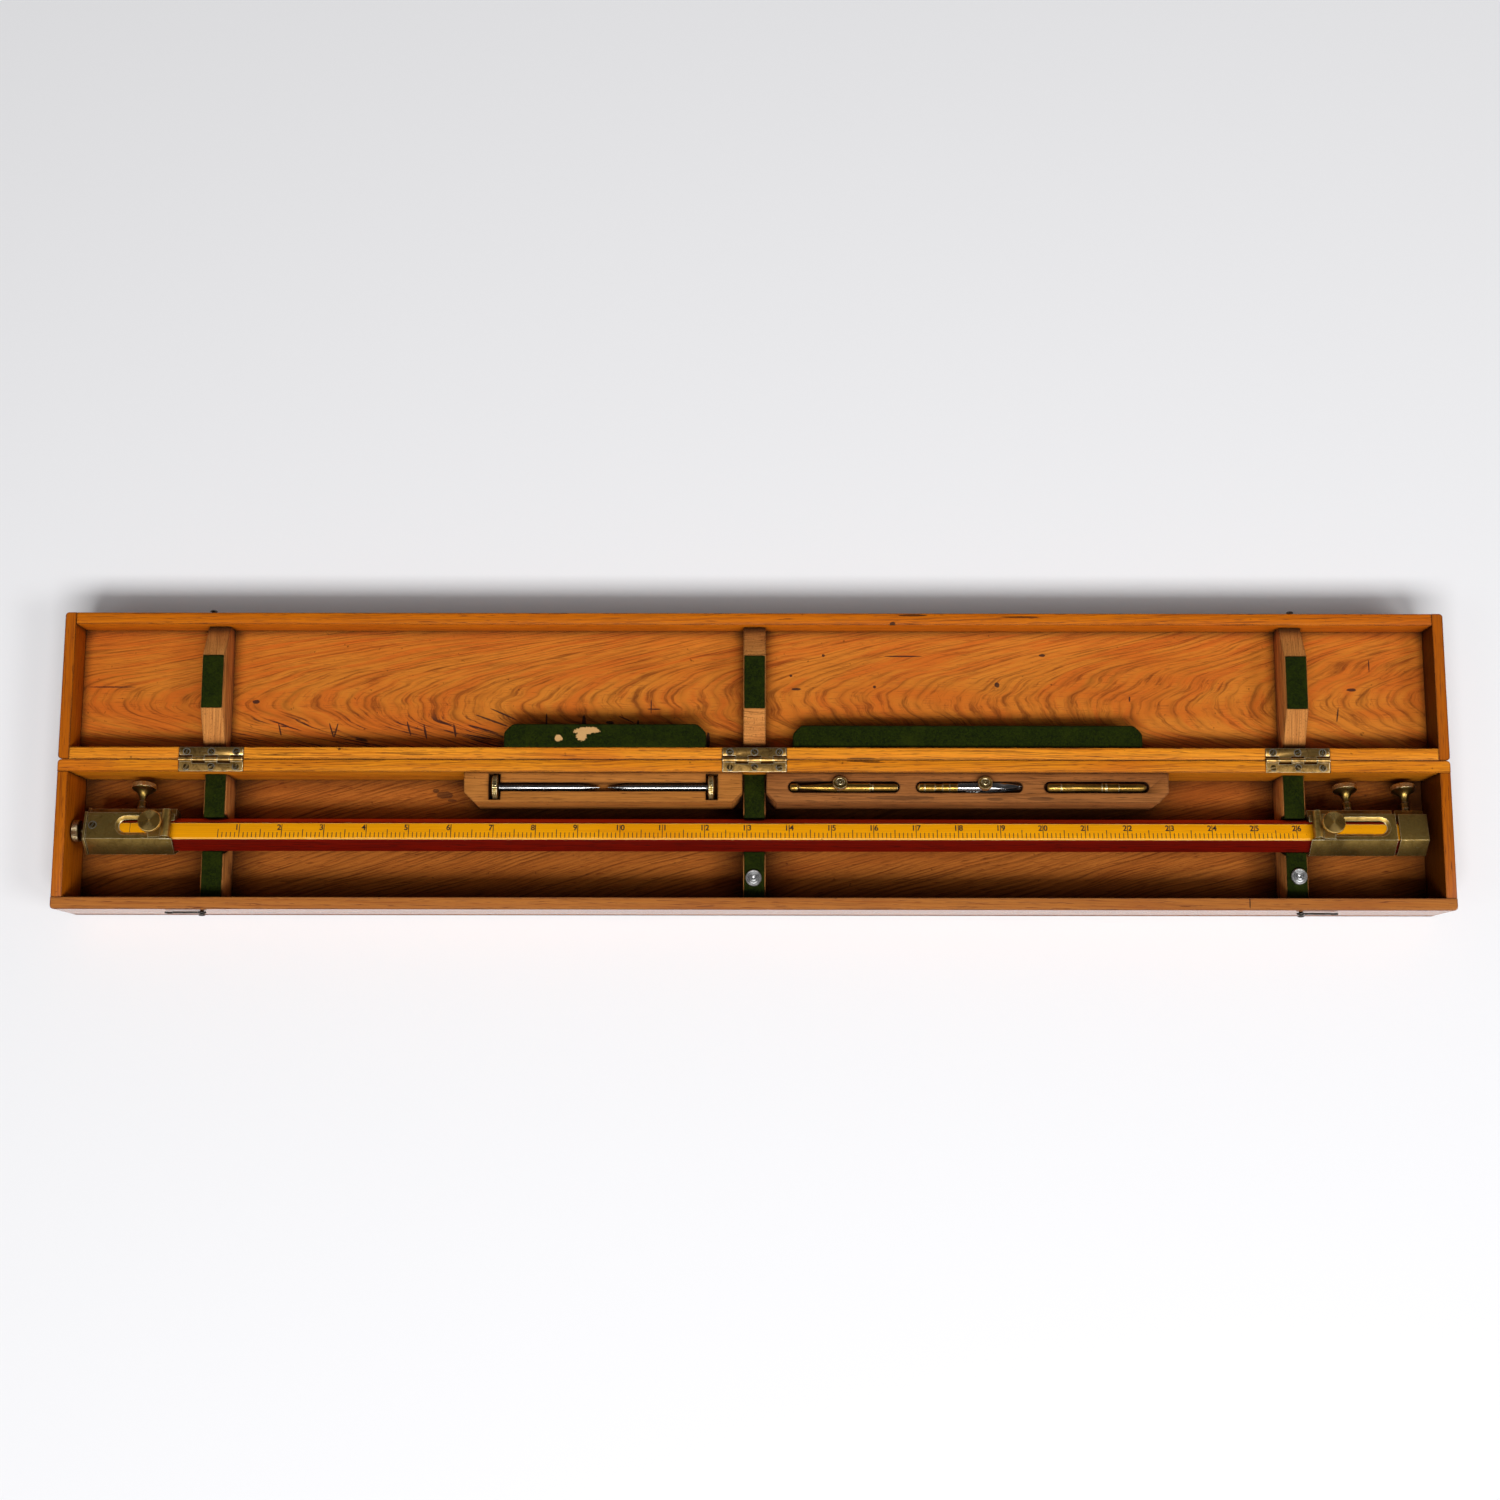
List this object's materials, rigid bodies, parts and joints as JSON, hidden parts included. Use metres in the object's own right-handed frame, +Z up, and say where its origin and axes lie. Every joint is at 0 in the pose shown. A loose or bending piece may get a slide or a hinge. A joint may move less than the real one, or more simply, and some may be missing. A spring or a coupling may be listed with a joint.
{
  "type": "beam compass in a case",
  "caption": "Beam compass with a scaled hexagonal beam, brass heads, points and pens, lying in a long hinged wooden case with felt-lined supports.",
  "frame": {"origin": "on the table, under the middle of the line of hinges, midway along the case", "axes": "+X along the beam to the plain end of the scale's high numbers, +Y towards the opened lid, +Z up"},
  "size_m": [0.836, 0.1868, 0.048],
  "materials": {
    "wood": "varnished",
    "bare_wood": "bare",
    "felt": "felt",
    "red_wood": "polished",
    "boxwood": "satin",
    "brass": "aged",
    "steel": "bright",
    "dark_steel": "darkened"
  },
  "bodies": {
    "case": {"box_bottom": "wood", "box_front_board": "wood", "box_back_board": "wood", "box_left_end": "wood", "box_right_end": "wood", "box_support_left": "bare_wood", "box_support_middle": "bare_wood", "box_support_right": "bare_wood", "support_felt_left": "felt", "support_felt_middle": "felt", "support_felt_right": "felt", "point_block": "bare_wood", "pen_block": "bare_wood", "hinge_box_leaf_left": "brass", "hinge_box_leaf_middle": "brass", "hinge_box_leaf_right": "brass", "hook_screw_left": "dark_steel", "hook_screw_right": "dark_steel"},
    "lid": {"lid_top": "wood", "lid_hinge_board": "wood", "lid_far_board": "wood", "lid_left_end": "wood", "lid_right_end": "wood", "lid_support_left": "bare_wood", "lid_support_middle": "bare_wood", "lid_support_right": "bare_wood", "lid_pad_left": "felt", "lid_pad_right": "felt", "hinge_lid_leaf_left": "brass", "hinge_lid_leaf_middle": "brass", "hinge_lid_leaf_right": "brass", "catch_pin_left": "dark_steel", "catch_pin_right": "dark_steel"},
    "left_hook": {"hook_left": "dark_steel"},
    "right_hook": {"hook_right": "dark_steel"},
    "beam": {"beam_bar": "red_wood", "scale_strip": "boxwood"},
    "left_head": {"left_head_body": "brass", "left_end_plate": "brass", "left_shoe": "brass", "left_socket": "brass"},
    "left_adjuster": {"adjusting_screw": "brass"},
    "left_clamp": {"left_clamp_screw": "brass"},
    "left_disc": {"left_socket_screw": "brass"},
    "right_head": {"right_head_body": "brass", "right_shoe": "brass", "right_socket": "brass"},
    "right_clamp": {"right_clamp_screw": "brass"},
    "right_disc": {"right_socket_screw": "brass"},
    "end_stop": {"end_block": "brass"},
    "end_clamp": {"end_block_screw": "brass"},
    "left_point": {"needle_point_left": "steel"},
    "right_point": {"needle_point_right": "steel"},
    "holder": {"pencil_holder": "brass"},
    "holder_knob": {"pencil_holder_knob": "brass"},
    "pen": {"ruling_pen": "steel"},
    "pen_knob": {"ruling_pen_knob": "brass"},
    "spare": {"spare_holder": "brass"},
    "middle_disc": {"centre_disc_middle": "steel"},
    "right_centre": {"centre_disc_right": "steel"}
  },
  "joints": [
    {"name": "lid_hinge", "type": "hinge", "parent": "case", "child": "lid", "pos_m": [0, 0, 0.04315], "axis": [-1, 0, 0], "range_deg": [-180, 0]},
    {"name": "hook_left_turn", "type": "hinge", "parent": "case", "child": "left_hook", "pos_m": [-0.3303, -0.09125, 0.032], "axis": [0, -1, 0], "range_deg": [-90, 90]},
    {"name": "hook_right_turn", "type": "hinge", "parent": "case", "child": "right_hook", "pos_m": [0.3275, -0.09125, 0.032], "axis": [0, 1, 0], "range_deg": [-90, 90]},
    {"name": "beam_lift", "type": "slide", "parent": "case", "child": "beam", "axis": [0, 0, 1], "range_m": [0, 0.08]},
    {"name": "left_head_slide", "type": "slide", "parent": "beam", "child": "left_head", "axis": [1, 0, 0], "range_m": [0, 0.005]},
    {"name": "adjusting_screw_turn", "type": "hinge", "parent": "left_head", "child": "left_adjuster", "pos_m": [-0.4, -0.04173, 0.02792], "axis": [1, 0, 0], "range_deg": [0, 1800]},
    {"name": "left_clamp_turn", "type": "hinge", "parent": "left_head", "child": "left_clamp", "pos_m": [-0.3719, -0.0439, 0.0274], "axis": [0, 0.9744, -0.225], "range_deg": [0, 360]},
    {"name": "left_disc_turn", "type": "hinge", "parent": "left_head", "child": "left_disc", "pos_m": [-0.3605, -0.04205, 0.02697], "axis": [0, 0.225, 0.9744], "range_deg": [0, 360]},
    {"name": "right_head_slide", "type": "slide", "parent": "beam", "child": "right_head", "axis": [1, 0, 0], "range_m": [0, 0.0012]},
    {"name": "right_clamp_turn", "type": "hinge", "parent": "right_head", "child": "right_clamp", "pos_m": [0.3604, -0.0439, 0.0274], "axis": [0, 0.9744, -0.225], "range_deg": [0, 360]},
    {"name": "right_disc_turn", "type": "hinge", "parent": "right_head", "child": "right_disc", "pos_m": [0.3459, -0.04205, 0.02697], "axis": [0, 0.225, 0.9744], "range_deg": [0, 360]},
    {"name": "end_block_slide", "type": "slide", "parent": "beam", "child": "end_stop", "axis": [1, 0, 0], "range_m": [0, 0.006]},
    {"name": "end_clamp_turn", "type": "hinge", "parent": "end_stop", "child": "end_clamp", "pos_m": [0.39595, -0.0439, 0.0274], "axis": [0, 0.9744, -0.225], "range_deg": [0, 360]},
    {"name": "left_point_lift", "type": "slide", "parent": "case", "child": "left_point", "axis": [0, 0, 1], "range_m": [0, 0.06]},
    {"name": "right_point_lift", "type": "slide", "parent": "case", "child": "right_point", "axis": [0, 0, 1], "range_m": [0, 0.06]},
    {"name": "holder_lift", "type": "slide", "parent": "case", "child": "holder", "axis": [0, 0, 1], "range_m": [0, 0.06]},
    {"name": "holder_knob_turn", "type": "hinge", "parent": "holder", "child": "holder_knob", "pos_m": [0.0516, -0.0161, 0.0388], "axis": [0, 0.3746, 0.9272], "range_deg": [0, 360]},
    {"name": "pen_lift", "type": "slide", "parent": "case", "child": "pen", "axis": [0, 0, 1], "range_m": [0, 0.06]},
    {"name": "pen_knob_turn", "type": "hinge", "parent": "pen", "child": "pen_knob", "pos_m": [0.1386, -0.0161, 0.0388], "axis": [0, 0.3746, 0.9272], "range_deg": [0, 360]},
    {"name": "spare_lift", "type": "slide", "parent": "case", "child": "spare", "axis": [0, 0, 1], "range_m": [0, 0.06]},
    {"name": "middle_disc_lift", "type": "slide", "parent": "case", "child": "middle_disc", "axis": [0, 0, 1], "range_m": [0, 0.04]},
    {"name": "right_centre_lift", "type": "slide", "parent": "case", "child": "right_centre", "axis": [0, 0, 1], "range_m": [0, 0.04]}
  ],
  "couplings": [
    {"joint": "adjusting_screw_turn", "follows": "left_head_slide", "rad_per_m": 6283.2}
  ]
}
